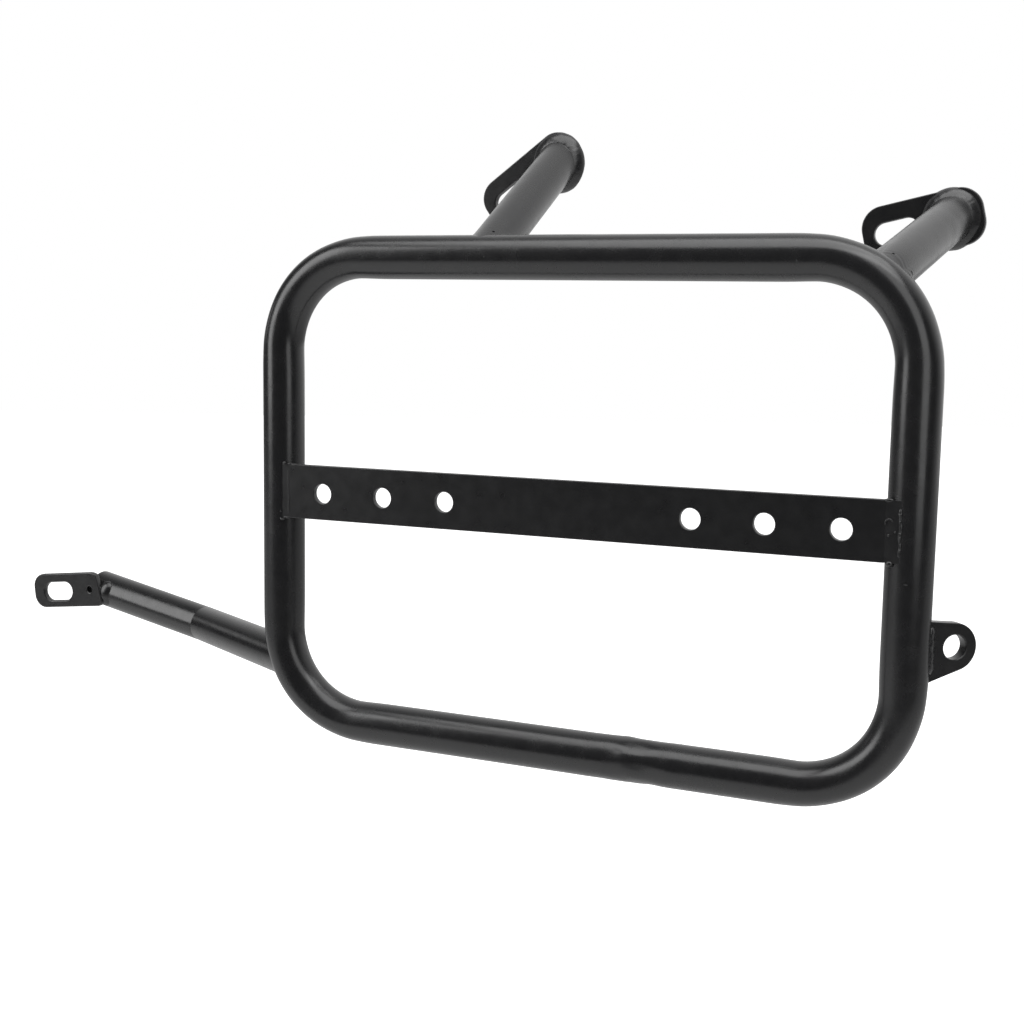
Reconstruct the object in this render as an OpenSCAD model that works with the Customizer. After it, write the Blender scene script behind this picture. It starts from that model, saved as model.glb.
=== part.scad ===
// Motorbike pannier frame: a bent tube hoop with a drilled flat bar across it,
// two struts and one arm that carry slotted plates, and a drilled lug.
// All sizes are in millimetres. The origin is on the front face of the bar, in the middle
// of its row of holes.
// X runs along the bar, Y points away from the pannier towards the bike, Z is up.

/* [Tube] */
// outside diameter of every tube
tube_d = 19; // [16:0.5:25]
// wall thickness of every tube
tube_wall = 1.5; // [1:0.1:3]

/* [Hoop] */
// width of the hoop between the centre lines of its upright runs
hoop_w = 286; // [240:1:360]
// height of the hoop between the centre lines of its level runs
hoop_h = 212; // [180:1:280]
// centre line radius of the four bends
bend_r = 41; // [32:1:60]
// depth by which the bending flattened the outside of each bend
bend_flat = 1.1; // [0.4:0.1:2]
// distance of the butt weld from the middle of the bottom run, to the right
butt_x = 29; // [-60:1:60]
// width of the butt weld
butt_w = 2.4; // [1:0.1:5]
// how far the ground butt weld still stands proud of the tube
butt_proud = 0.15; // [0:0.05:0.6]

/* [Cross bar] */
// height of the flat bar
bar_h = 24.7; // [20:0.1:40]
// thickness of the flat bar
bar_t = 3; // [2:0.5:6]
// distance from the front face of the bar back to the plane of the hoop centre line
bar_stand = 8.4; // [6:0.1:9]
// diameter of the six bolt holes
bar_hole_d = 9; // [5:0.1:12]
// distance of the outermost hole from the centre line of the upright run
bar_hole_edge = 25.5; // [18:0.5:50]
// distance between neighbouring holes
bar_hole_pitch = 30.75; // [20:0.25:36]
// length and depth of the bevel on the front of each bar end, which its weld fills
bar_prep = 1.6; // [0.8:0.1:2.4]
// gap left between each bar end and the tube before welding
bar_gap = 0.3; // [0.1:0.1:1]
// height of the row of holes above the middle of the hoop
bar_rise = 0.4; // [-5:0.1:5]
// height of the middle of the bar above the row of holes
bar_lift = 0.4; // [-3:0.1:3]
// lean of the bar as it was welded in, right end up, in degrees
bar_tilt = 0.28; // [0:0.02:1]

/* [Strut welds] */
// leg of the welds round the feet of the struts
foot_leg = 2; // [1:0.1:4]
// distance behind the plane of the hoop where those welds begin
foot_start = 6.2; // [4:0.1:7]
// leg of the weld rings between the struts and their plates
ring_leg = 3.5; // [2:0.1:5]

/* [Left strut] */
// position of its foot on the top run, to the right of the middle
ls_foot_x = -42.1; // [-90:0.1:40]
// how far its far end lies to the right of its foot
ls_lean = -4.1; // [-40:0.1:40]
// how far its far end rises above its foot
ls_rise = 48; // [20:0.1:80]

/* [Right strut] */
// angle of its foot round the upper right bend, from level
rs_foot_a = 53.6; // [30:0.1:75]
// how far its far end lies to the right of its foot
rs_lean = 12.2; // [-30:0.1:30]
// how far its far end rises above its foot
rs_rise = 27.9; // [5:0.1:60]

/* [Strut plates] */
// distance from the hoop plane back to the front faces of the strut plates
plate_y = 90; // [60:0.5:130]
// width of the strut plates
plate_w = 25; // [20:0.5:35]
// thickness of the strut plates
plate_t = 4; // [2:0.5:6]
// corner radius of the strut plates
plate_r = 9.8; // [3:0.1:10]
// length of the left plate
lp_len = 55; // [45:0.5:70]
// length of the right plate
rp_len = 52.5; // [45:0.5:70]
// angle of the left plate above level
lp_a = 36.2; // [0:0.1:90]
// distance from the left strut to the middle of its plate, along the plate
lp_shift = 15.4; // [10:0.1:22]
// distance from the left strut to the middle of its plate, across the plate
lp_lift = 1.8; // [-3:0.1:3]
// angle of the right plate above level
rp_a = 13; // [0:0.1:90]
// distance from the right strut to the middle of its plate, along the plate
rp_shift = 12.1; // [10:0.1:22]
// distance from the right strut to the middle of its plate, across the plate
rp_lift = 0.3; // [-3:0.1:3]
// width of the slots in the strut plates
slot_w = 10; // [6:0.1:12]
// length of the slots in the strut plates, end to end
slot_len = 19.5; // [12:0.5:24]
// metal left between each slot and the free end of its plate
slot_wall = 5; // [3:0.1:10]

/* [Rear arm] */
// outside diameter of the arm
arm_d = 18; // [14:0.5:22]
// angle of its foot round the lower left bend, from level
arm_foot_a = 21.8; // [8:0.1:60]
// distance of its centre line behind the hoop centre line at the foot
arm_in_y = 0.4; // [-0.4:0.1:0.4]
// first straight part, from the foot to the bend: to the left, to the back and down
arm_one_x = 85.3; // [60:0.1:120]
arm_one_y = 49.7; // [30:0.1:70]
arm_one_z = 1; // [-20:0.1:20]
// second straight part, from the bend to the outer end: to the left, to the back and up
arm_two_x = 72.8; // [50:0.1:110]
arm_two_y = 8.6; // [0:0.1:25]
arm_two_z = 11.3; // [0:0.1:30]
// centre line radius of the short bend
arm_bend_r = 20; // [16:1:40]
// how far the tube swelled in the short bend
arm_swell = 0.25; // [0.1:0.05:0.6]
// leg of the weld round the foot of the arm
arm_leg = 1.4; // [1:0.1:3]

/* [Arm tab] */
// gap between the back face of the tab and the front of the arm at its outer end
tab_gap = 0.1; // [0:0.1:0.3]
// thickness of the tab
tab_t = 3; // [2:0.5:5]
// width of the tab
tab_w = 18.5; // [16:0.1:30]
// height of the middle of the tab above its slot
tab_lift = 0.5; // [-2:0.1:2]
// radius of three corners of the tab
tab_r = 7; // [3:0.1:8]
// radius of the lower inner corner
tab_low_r = 3.2; // [1:0.1:8]
// distance of the slot centre beyond the outer end of the arm
tab_past = 20.3; // [16:0.1:30]
// distance of the slot centre below the centre line of the arm end
tab_drop = 2.3; // [-4:0.1:6]
// angle of the tab above level
tab_a = 6.5; // [-10:0.1:20]
// length of the tab from the slot centre to its free end
tab_out = 16.6; // [14:0.1:24]
// length of the tab from the slot centre to its cut end
tab_in = 29.2; // [26:0.1:36]
// lean of the cut end of the tab
tab_cut_a = 9.6; // [0:0.1:20]
// width of the slot in the tab
tab_slot_w = 10.4; // [6:0.1:13]
// length of the slot in the tab, end to end
tab_slot_len = 19.3; // [14:0.1:26]
// diameter of the small drain hole
drain_d = 3.4; // [2:0.1:5]
// distance of the drain hole from the centre of the slot
drain_x = 21.4; // [18:0.1:26]
// length of the weld lump past the cut end of the tab
tab_weld_len = 7.5; // [4:0.1:12]
// width of the weld lump
tab_weld_w = 14; // [10:0.1:18]
// how far the weld lump stands proud of the arm
tab_weld_h = 1.3; // [0.6:0.1:3]

/* [Lower lug] */
// thickness of the lug
lug_t = 5; // [3:0.5:8]
// diameter of its hole
lug_hole_d = 10; // [6:0.1:12]
// distance of its hole from the centre line of the tube
lug_reach = 20.6; // [17:0.1:30]
// radius of its rounded end
lug_end_r = 9.7; // [8:0.1:14]
// height of its foot on the tube above the hole centre
lug_up = 10.8; // [9:0.1:20]
// height of its foot on the tube below the hole centre
lug_down = 14.4; // [10:0.1:20]
// height of the hole centre above the lower end of the upright run
lug_rise = 19.7; // [15:0.1:60]
// angle by which the lug is turned back from the plane of the hoop
lug_a = 40; // [10:1:70]
// leg of the two welds along the lug
lug_leg = 2.2; // [1.5:0.1:4]

/* [Hidden] */
$fn = 96;
tube_r = tube_d / 2;
bore_r = tube_r - tube_wall;
half_w = hoop_w / 2;
half_h = hoop_h / 2;
run_w = half_w - bend_r;
run_h = half_h - bend_r;
// height of the middle of the hoop above the origin
mid_z = -bar_rise;
bar_half = half_w - sqrt(pow(tube_r, 2) - pow(bar_stand - bar_t, 2)) - bar_gap;
ls_foot = [ls_foot_x, bar_stand, mid_z + half_h];
ls_end = ls_foot + [ls_lean, plate_y, ls_rise];
rs_foot = [run_w + bend_r * cos(rs_foot_a), bar_stand,
  mid_z + run_h + bend_r * sin(rs_foot_a)];
rs_end = rs_foot + [rs_lean, plate_y, rs_rise];
arm_r = arm_d / 2;
arm_bore_r = arm_r - tube_wall;
arm_in = [-run_w - bend_r * cos(arm_foot_a), bar_stand + arm_in_y,
  mid_z - run_h - bend_r * sin(arm_foot_a)];
arm_kink = arm_in + [-arm_one_x, arm_one_y, -arm_one_z];
arm_out = arm_kink + [-arm_two_x, arm_two_y, arm_two_z];
// front face of the tab
tab_front = arm_out[1] - arm_r - tab_gap - tab_t;
// direction of the two straight parts of the arm and the bend between them
arm_d1 = (arm_kink - arm_in) / norm(arm_kink - arm_in);
arm_d2 = (arm_out - arm_kink) / norm(arm_out - arm_kink);
arm_turn = acos(arm_d1 * arm_d2);
arm_cut = arm_bend_r * tan(arm_turn / 2);
arm_s1 = arm_kink - arm_d1 * arm_cut;
arm_s2 = arm_kink + arm_d2 * arm_cut;
arm_len1 = norm(arm_s1 - arm_in);
arm_len2 = norm(arm_out - arm_s2);
arm_tip = acos(arm_d1[2]);
arm_swing = atan2(arm_d1[1], arm_d1[0]);
// the second direction seen from the first one, to find the plane of the bend
arm_q = [arm_d2[0] * cos(arm_swing) + arm_d2[1] * sin(arm_swing),
  arm_d2[1] * cos(arm_swing) - arm_d2[0] * sin(arm_swing), arm_d2[2]];
arm_roll = atan2(arm_q[1], arm_q[0] * cos(arm_tip) - arm_q[2] * sin(arm_tip));
lug_axis = [half_w, bar_stand, mid_z - run_h + lug_rise];

// the turn that lays the Z axis along a direction
function aim(v) = [0, acos(v[2] / norm(v)), atan2(v[1], v[0])];

// the point where a line from p touches a circle of radius r at [s, 0], on side k
function touch(s, p, r, k) =
  let (a = atan2(p[1], p[0] - s) - k * acos(r / norm([p[0] - s, p[1]])))
  [s + r * cos(a), r * sin(a)];

// a round rod from p to q
module rod(p, q, r) {
  translate(p)
    rotate(aim(q - p))
      cylinder(h = norm(q - p), r = r);
}

// one quarter bend of the hoop, lying flat
// its section is a circle cut by a second one nearer the middle, so it is flatter outside
module quarter(r) {
  rotate_extrude(angle = 90)
    intersection() {
      translate([bend_r, 0])
        circle(r = r);
      translate([bend_r - bend_flat - 0.05, 0])
        circle(r = r + 0.05);
    }
}

// the whole closed run of the hoop as a solid of tube radius r
module hoop_run(r) {
  translate([0, bar_stand, mid_z])
    rotate([90, 0, 0]) {
      translate([run_w, run_h, 0])
        quarter(r);
      translate([-run_w, run_h, 0])
        rotate([0, 0, 90])
          quarter(r);
      translate([-run_w, -run_h, 0])
        rotate([0, 0, 180])
          quarter(r);
      translate([run_w, -run_h, 0])
        rotate([0, 0, 270])
          quarter(r);
      for (s = [-1, 1]) {
        translate([-run_w, s * half_h, 0])
          rotate([0, 90, 0])
            cylinder(h = 2 * run_w, r = r);
        translate([s * half_w, run_h, 0])
          rotate([90, 0, 0])
            cylinder(h = 2 * run_h, r = r);
      }
    }
}

// upright run on side s, used where only that run is near
module side_run(s, r) {
  translate([s * half_w, bar_stand, mid_z - run_h])
    cylinder(h = 2 * run_h, r = r);
}

// top run alone
module top_run(r) {
  translate([-run_w, bar_stand, mid_z + half_h])
    rotate([0, 90, 0])
      cylinder(h = 2 * run_w, r = r);
}

// the place of the bend on side sx, sz, standing in the plane of the hoop
module at_corner(sx, sz) {
  translate([sx * run_w, bar_stand, mid_z + sz * run_h])
    rotate([90, 0, 0])
      rotate([0, 0, sx > 0 ? (sz > 0 ? 0 : 270) : (sz > 0 ? 90 : 180)])
        children();
}

// a plain round bend that reaches past both ends of the real one
module round_bend(r) {
  rotate([0, 0, -10])
    rotate_extrude(angle = 110)
      translate([bend_r, 0])
        circle(r = r);
}

// the space in front of the strut plates
module before_plates() {
  translate([-2 * hoop_w, -plate_y, -2 * hoop_h])
    cube([4 * hoop_w, bar_stand + 2 * plate_y, 4 * hoop_h]);
}

// a flat outline with rounded corners, centred
module rounded(l, w, r) {
  square([l - 2 * r, w], center = true);
  square([l, w - 2 * r], center = true);
  for (x = [-1, 1])
    for (y = [-1, 1])
      translate([x * (l / 2 - r), y * (w / 2 - r)])
        circle(r = r);
}

// a flat slot outline, centred
module slot(l, w) {
  square([l - w, w], center = true);
  for (x = [-1, 1])
    translate([x * (l - w) / 2, 0])
      circle(d = w);
}

// hoop tube: bent from one length, open where the butt weld closes it
module hoop_tube() {
  color("#2a2a2b")
    difference() {
      hoop_run(tube_r);
      hoop_run(bore_r);
      translate([butt_x - butt_w / 2, bar_stand - tube_d, mid_z - half_h - tube_d])
        cube([butt_w, 2 * tube_d, 2 * tube_d]);
    }
}

// butt weld: a ring of weld metal through the wall, ground nearly flush
module hoop_butt_weld() {
  color("#343435")
    translate([butt_x, bar_stand, mid_z - half_h])
      rotate([0, 90, 0])
        rotate_extrude()
          polygon([[bore_r, -butt_w / 2], [tube_r, -butt_w / 2],
            [tube_r + butt_proud, -butt_w / 5], [tube_r + butt_proud, butt_w / 5],
            [tube_r, butt_w / 2], [bore_r, butt_w / 2]]);
}

// the lean of the bar, about the origin
module leaning() {
  rotate([0, -bar_tilt, 0])
    children();
}

// the blank of the bar, its ends bevelled on the front
module bar_blank() {
  translate([0, 0, bar_lift - bar_h / 2])
    linear_extrude(height = bar_h)
      polygon([[-bar_half + bar_prep, 0], [bar_half - bar_prep, 0],
        [bar_half, bar_prep], [bar_half, bar_t],
        [-bar_half, bar_t], [-bar_half, bar_prep]]);
}

// cross bar: sheared flat with six drilled holes
module cross_bar() {
  color("#262627")
    leaning()
      difference() {
        bar_blank();
        for (s = [-1, 1])
          for (i = [0:2])
            translate([s * (half_w - bar_hole_edge - i * bar_hole_pitch), -1, 0])
              rotate([-90, 0, 0])
                cylinder(h = bar_t + 2, d = bar_hole_d);
      }
}

// groove weld between a bar end and the tube, on side s
// it fills the bevel from over behind the bar end and ends toe short of the tube centre line
// one round blob at each end stands out from the bar end by top and by low
module bar_weld(s, over, toe, top, low) {
  difference() {
    leaning()
      union() {
        translate([0, 0, bar_lift - bar_h / 2])
          mirror([s < 0 ? 1 : 0, 0, 0])
            linear_extrude(height = bar_h)
              polygon([[bar_half - over, 0], [bar_half - over * 0.55, -0.55],
                [bar_half + 1.4, -0.85], [half_w - toe - 0.6, bar_stand - tube_r + 0.1],
                [half_w - toe + 1.2, bar_stand - tube_r + 0.5],
                [half_w - toe + 1.2, bar_t], [bar_half, bar_t]]);
        translate([s * (bar_half + top), 1.1, bar_lift + bar_h / 2])
          sphere(r = 1.9);
        translate([s * (bar_half + low), 1.1, bar_lift - bar_h / 2 + 0.7])
          sphere(r = 1.9);
      }
    side_run(s, tube_r);
    leaning()
      bar_blank();
  }
}

// left weld: narrow, its toe close to the tube front
module bar_weld_left() {
  color("#303031")
    bar_weld(-1, bar_prep - 0.2, 3.6, 1.2, 2.6);
}

// right weld: broad, its toe further round the tube
module bar_weld_right() {
  color("#303031")
    bar_weld(1, bar_prep - 0.1, 3.4, 1.2, 1.2);
}

// left strut: coped to the top run, cut flat against its plate
module left_strut_tube() {
  color("#3a3a3b")
    difference() {
      intersection() {
        rod(ls_foot, ls_foot + 1.2 * (ls_end - ls_foot), tube_r);
        before_plates();
      }
      rod(ls_foot, ls_foot + 1.3 * (ls_end - ls_foot), bore_r);
      top_run(tube_r);
    }
}

// the space behind the hoop where the foot welds lie
module behind_hoop() {
  translate([-2 * hoop_w, bar_stand + foot_start, -2 * hoop_h])
    cube([4 * hoop_w, 2 * plate_y, 4 * hoop_h]);
}

// weld bead round the foot of the left strut
module left_foot_weld() {
  color("#343435")
    difference() {
      intersection() {
        rod(ls_foot, ls_foot + 0.5 * (ls_end - ls_foot), tube_r + foot_leg);
        top_run(tube_r + foot_leg);
        behind_hoop();
      }
      rod(ls_foot - 0.2 * (ls_end - ls_foot), ls_end, tube_r);
      top_run(tube_r);
    }
}

// a slab in the place of the plate on a strut end, from y0 to y1 behind its front face
module plate_slab(end, a, shift, lift, y0, y1) {
  translate([end[0], end[1] + y1, end[2]])
    rotate([0, -a, 0])
      rotate([90, 0, 0])
        linear_extrude(height = y1 - y0)
          translate([-shift, lift])
            children();
}

// the flat shape of a strut plate, with the slot near its free end
module plate_shape(len) {
  difference() {
    rounded(len, plate_w, plate_r);
    translate([-len / 2 + slot_wall + slot_len / 2, 0])
      slot(slot_len, slot_w);
  }
}

// left plate
module left_plate() {
  color("#29292a")
    plate_slab(ls_end, lp_a, lp_shift, lp_lift, 0, plate_t)
      plate_shape(lp_len);
}

// a sloping weld ring round a strut, against its plate
// the plate outline is the child, and the ring stays inside it
module plate_weld(foot, end) {
  dir = (end - foot) / norm(end - foot);
  difference() {
    intersection() {
      translate([end[0], end[1] - ring_leg, end[2]])
        rotate([-90, 0, 0])
          cylinder(h = ring_leg, r1 = tube_r + 1.4, r2 = tube_r + ring_leg + 0.9);
      rod(end - dir * 30, end + dir * 30, tube_r + ring_leg);
      children();
    }
    rod(end - dir * 40, end + dir * 40, tube_r);
  }
}

// weld ring on the left plate
module left_plate_weld() {
  color("#343435")
    plate_weld(ls_foot, ls_end)
      plate_slab(ls_end, lp_a, lp_shift, lp_lift, -tube_d, 0)
        rounded(lp_len - 0.6, plate_w - 0.6, plate_r - 0.3);
}

// right strut: coped to the upper right bend, cut flat against its plate
module right_strut_tube() {
  color("#3a3a3b")
    difference() {
      intersection() {
        rod(rs_foot, rs_foot + 1.2 * (rs_end - rs_foot), tube_r);
        before_plates();
      }
      rod(rs_foot, rs_foot + 1.3 * (rs_end - rs_foot), bore_r);
      at_corner(1, 1)
        quarter(tube_r);
    }
}

// weld bead round the foot of the right strut
module right_foot_weld() {
  color("#343435")
    difference() {
      intersection() {
        rod(rs_foot, rs_foot + 0.5 * (rs_end - rs_foot), tube_r + foot_leg);
        at_corner(1, 1)
          round_bend(tube_r + foot_leg);
        behind_hoop();
      }
      rod(rs_foot - 0.2 * (rs_end - rs_foot), rs_end, tube_r);
      at_corner(1, 1)
        quarter(tube_r);
    }
}

// right plate
module right_plate() {
  color("#29292a")
    plate_slab(rs_end, rp_a, rp_shift, rp_lift, 0, plate_t)
      plate_shape(rp_len);
}

// weld ring on the right plate
module right_plate_weld() {
  color("#343435")
    plate_weld(rs_foot, rs_end)
      plate_slab(rs_end, rp_a, rp_shift, rp_lift, -tube_d, 0)
        rounded(rp_len - 0.6, plate_w - 0.6, plate_r - 0.3);
}

// the rear arm as a rod of radius r: straight, short bend, straight
// each end runs on by more
module arm_run(r, more) {
  translate(arm_s1)
    rotate([0, arm_tip, arm_swing])
      rotate([0, 0, arm_roll]) {
        translate([0, 0, -arm_len1 - more])
          cylinder(h = arm_len1 + more + 1, r = r);
        translate([arm_bend_r, 0, 0])
          rotate([90, 0, 0])
            rotate([0, 0, 180 - arm_turn])
              rotate_extrude(angle = arm_turn)
                translate([arm_bend_r, 0])
                  circle(r = r + arm_swell);
        translate([arm_bend_r * (1 - cos(arm_turn)), 0, arm_bend_r * sin(arm_turn)])
          rotate([0, arm_turn, 0])
            translate([0, 0, -1])
              cylinder(h = arm_len2 + more + 1, r = r);
      }
}

// the outline of the tab, its slot centre at the origin
module tab_outline() {
  low_y = tab_low_r - tab_w / 2;
  translate([0, tab_lift])
    difference() {
      union() {
        translate([(tab_in - tab_out) / 2, 0])
          rounded(tab_in + tab_out, tab_w, tab_r);
        translate([0, -tab_w / 2])
          square([tab_in - tab_low_r, tab_w / 2]);
        translate([tab_in - tab_low_r, low_y])
          circle(r = tab_low_r);
        translate([0, low_y])
          square([tab_in, -low_y]);
      }
      translate([tab_in, low_y])
        rotate([0, 0, tab_cut_a])
          translate([0, -tab_w])
            square([tab_w, 3 * tab_w]);
    }
}

// a slab in the shape of the tab, reaching from y0 to y1 behind its front face
module tab_slab(y0, y1) {
  translate([arm_out[0] - tab_past, tab_front + y1, arm_out[2] - tab_drop])
    rotate([0, -tab_a, 0])
      rotate([90, 0, 0])
        linear_extrude(height = y1 - y0)
          children();
}

// rear arm: coped to the hoop, its outer end notched for the tab
module rear_arm_tube() {
  color("#303032")
    difference() {
      arm_run(arm_r, 0);
      arm_run(arm_bore_r, 4);
      at_corner(-1, -1)
        quarter(tube_r);
      tab_slab(-arm_d, tab_t)
        tab_outline();
    }
}

// weld bead round the foot of the rear arm
module arm_foot_weld() {
  color("#343435")
    difference() {
      intersection() {
        rod(arm_in + arm_d1 * 3, arm_in + arm_d1 * 50, arm_r + arm_leg);
        at_corner(-1, -1)
          round_bend(tube_r + arm_leg);
      }
      rod(arm_in - arm_d1 * 10, arm_in + arm_d1 * 60, arm_r);
      at_corner(-1, -1)
        quarter(tube_r);
    }
}

// slotted tab with its drain hole
module arm_tab() {
  color("#2f2f30")
    tab_slab(0, tab_t)
      difference() {
        tab_outline();
        slot(tab_slot_len, tab_slot_w);
        translate([drain_x, tab_lift])
          circle(d = drain_d);
      }
}

// weld between the cut end of the tab and the arm: a rounded lump
module arm_tab_weld() {
  color("#343435")
    difference() {
      intersection() {
        tab_slab(-arm_d, tab_t)
          translate([tab_in + tab_weld_len / 2 - 3, 0])
            rounded(tab_weld_len + 6, tab_weld_w, 5);
        rod(arm_out - arm_d2 * 30, arm_out + arm_d2 * 8, arm_r + tab_weld_h);
      }
      rod(arm_out - arm_d2 * 40, arm_out + arm_d2 * 18, arm_r);
      tab_slab(-2 * arm_d, tab_t + 1)
        tab_outline();
    }
}

// frame of the lug: X runs out from the tube centre line, Z is up
module lug_frame() {
  translate(lug_axis)
    rotate([0, 0, lug_a])
      children();
}

// flat outline of the lug, from the tube centre line outward
module lug_outline() {
  circle_x = lug_reach;
  up = touch(circle_x, [tube_r * 0.8, lug_up], lug_end_r, 1);
  dn = touch(circle_x, [tube_r * 0.8, -lug_down], lug_end_r, -1);
  translate([circle_x, 0])
    circle(r = lug_end_r);
  polygon([[0, -lug_down], [tube_r * 0.8, -lug_down], dn, [circle_x, 0], up,
    [tube_r * 0.8, lug_up], [0, lug_up]]);
}

// lug: a drilled plate coped to the tube
module lower_lug() {
  color("#353533")
    difference() {
      lug_frame()
        translate([0, lug_t / 2, 0])
          rotate([90, 0, 0])
            linear_extrude(height = lug_t)
              difference() {
                lug_outline();
                translate([lug_reach, 0])
                  circle(d = lug_hole_d);
              }
      side_run(1, tube_r);
    }
}

// bead along one face of the lug, side s
module lug_weld(s) {
  difference() {
    intersection() {
      translate([half_w, bar_stand, lug_axis[2] - lug_down + 2])
        cylinder(h = lug_up + lug_down - 3.2, r = tube_r + lug_leg);
      lug_frame()
        translate([0, s > 0 ? lug_t / 2 : -lug_t / 2 - lug_leg, -lug_down])
          cube([2 * tube_d, lug_leg, lug_up + lug_down]);
    }
    side_run(1, tube_r);
  }
}

// bead on the face that looks to the pannier side
module lug_weld_front() {
  color("#4a4a47")
    lug_weld(-1);
}

// bead on the face that looks to the bike
module lug_weld_rear() {
  color("#4a4a47")
    lug_weld(1);
}

hoop_tube();
hoop_butt_weld();
cross_bar();
bar_weld_left();
bar_weld_right();
left_strut_tube();
left_foot_weld();
left_plate();
left_plate_weld();
right_strut_tube();
right_foot_weld();
right_plate();
right_plate_weld();
rear_arm_tube();
arm_foot_weld();
arm_tab();
arm_tab_weld();
lower_lug();
lug_weld_front();
lug_weld_rear();
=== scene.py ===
import math
import bpy
import bmesh
from mathutils import Matrix, Vector, noise


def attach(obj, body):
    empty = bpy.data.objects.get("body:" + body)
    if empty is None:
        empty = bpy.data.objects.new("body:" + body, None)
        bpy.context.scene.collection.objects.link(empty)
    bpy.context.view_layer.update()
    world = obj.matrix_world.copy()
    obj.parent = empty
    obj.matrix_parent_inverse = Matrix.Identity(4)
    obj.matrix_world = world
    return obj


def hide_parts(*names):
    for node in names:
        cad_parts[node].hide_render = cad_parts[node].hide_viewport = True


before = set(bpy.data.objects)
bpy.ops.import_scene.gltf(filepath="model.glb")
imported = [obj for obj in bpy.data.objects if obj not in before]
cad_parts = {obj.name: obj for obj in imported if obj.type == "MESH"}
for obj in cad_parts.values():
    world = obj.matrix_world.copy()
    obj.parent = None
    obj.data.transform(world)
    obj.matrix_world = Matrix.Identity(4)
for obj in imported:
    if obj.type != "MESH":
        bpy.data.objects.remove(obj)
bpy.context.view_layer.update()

# everything below is written in millimetres and made metres once, when a piece is finished
scene = bpy.context.scene
print("frame loaded:", len(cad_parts), "nodes")

hoop = {
    "halfWidth": 143.0, "halfHeight": 106.0, "bendRadius": 41.0, "tubeRadius": 9.5,
    "middle": Vector((0.0, 8.4, -0.4)), "flat": 1.1, "flatBefore": 9.0, "flatAfter": 15.0,
    "pinch": 0.24, "pinchLength": 8.0, "pinchReach": 24.0,
    "buttAt": 29.0, "buttProud": 0.12, "buttWidth": 2.6,
    "roughAt": 32.8, "roughLength": 16.0, "roughReach": 2.5, "roughBelow": -90.0,
    "rough": 0.55, "roughGrain": (0.11, 0.16, 0.16),
    "sides": 72, "bendSteps": 40, "runSteps": 64,
}
runWidth = hoop["halfWidth"] - hoop["bendRadius"]
runHeight = hoop["halfHeight"] - hoop["bendRadius"]

# how a mesh is finished: points this near are one, faces this square on count as flat, and angles that
# stay sharp on cut metal and on weld
finish = {"merge": 0.004, "flatness": 0.9995, "metres": 0.001, "cutAngle": 40, "weldAngle": 60}


# small helpers for meshes
def smoothStep(low, high, value):
    part = min(1.0, max(0.0, (value - low) / (high - low)))
    return part * part * (3 - 2 * part)


def placeAt(point, along, up=(0, 0, 1)):
    # a frame whose Z runs along, X to the side and Y as near to up as it can
    tangent = Vector(along).normalized()
    side = Vector(up).cross(tangent)
    side = side.normalized() if side.length > 1e-6 else Vector((1, 0, 0))
    return Matrix.Translation(point) @ Matrix((side, tangent.cross(side), tangent)).transposed().to_4x4()


def ringEdges(ring):
    inRing = set(ring)
    return list({edge for vert in ring for edge in vert.link_edges if edge.other_vert(vert) in inRing})


def closeRing(bm, ring):
    bmesh.ops.contextual_create(bm, geom=ringEdges(ring))


def pullRing(bm, ring, move):
    made = bmesh.ops.extrude_edge_only(bm, edges=ringEdges(ring))["geom"]
    newRing = [item for item in made if isinstance(item, bmesh.types.BMVert)]
    bmesh.ops.transform(bm, matrix=move, verts=newRing)
    return newRing


def pullStraight(bm, ring, move, steps):
    for step in range(steps):
        ring = pullRing(bm, ring, Matrix.Translation(Vector(move) / steps))
    return ring


def spinRing(bm, ring, centre, axis, angle, steps):
    turned = bmesh.ops.spin(bm, geom=ring + ringEdges(ring), cent=centre, axis=axis, angle=angle,
                            steps=steps, use_merge=False, use_duplicate=False)["geom_last"]
    return [item for item in turned if isinstance(item, bmesh.types.BMVert)]


def finishPiece(name, bm, material, nodes, smoothAngle=finish["cutAngle"], flatWay=None):
    bmesh.ops.remove_doubles(bm, verts=bm.verts, dist=finish["merge"])
    bmesh.ops.recalc_face_normals(bm, faces=bm.faces)
    bm.normal_update()
    openEdges = sum(1 for edge in bm.edges if not edge.is_manifold)
    rounded = [not flatWay or abs(face.normal.dot(flatWay)) < finish["flatness"] for face in bm.faces]
    bmesh.ops.scale(bm, vec=[finish["metres"]] * 3, verts=bm.verts)
    mesh = bpy.data.meshes.new(name)
    bm.to_mesh(mesh)
    bm.free()
    mesh.set_sharp_from_angle(angle=math.radians(smoothAngle))
    mesh.polygons.foreach_set("use_smooth", rounded)
    piece = bpy.data.objects.new(name, mesh)
    scene.collection.objects.link(piece)
    mesh.materials.append(material)
    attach(piece, "root")
    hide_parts(*nodes)
    print("piece", name, len(mesh.polygons), "faces, open edges", openEdges)


def fromHoop(point):
    # distance from the centre line of the hoop, which is a rounded rectangle
    across = max(abs(point.x) - runWidth, 0.0)
    upward = max(abs(point.z - hoop["middle"].z) - runHeight, 0.0)
    inside = min(max(abs(point.x) - runWidth, abs(point.z - hoop["middle"].z) - runHeight), 0.0)
    inPlane = math.hypot(across, upward) + inside - hoop["bendRadius"]
    return math.hypot(inPlane, point.y - hoop["middle"].y)


# how the hoop is felt for: the probe that finds its surface normal, the range between a tube that stands
# square on it and one that only touches it, and the walk in along a line
feel = {"probe": 0.01, "square": 0.25, "touching": 0.85, "from": 70.0, "last": -12, "step": 0.5, "halvings": 14}


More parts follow.
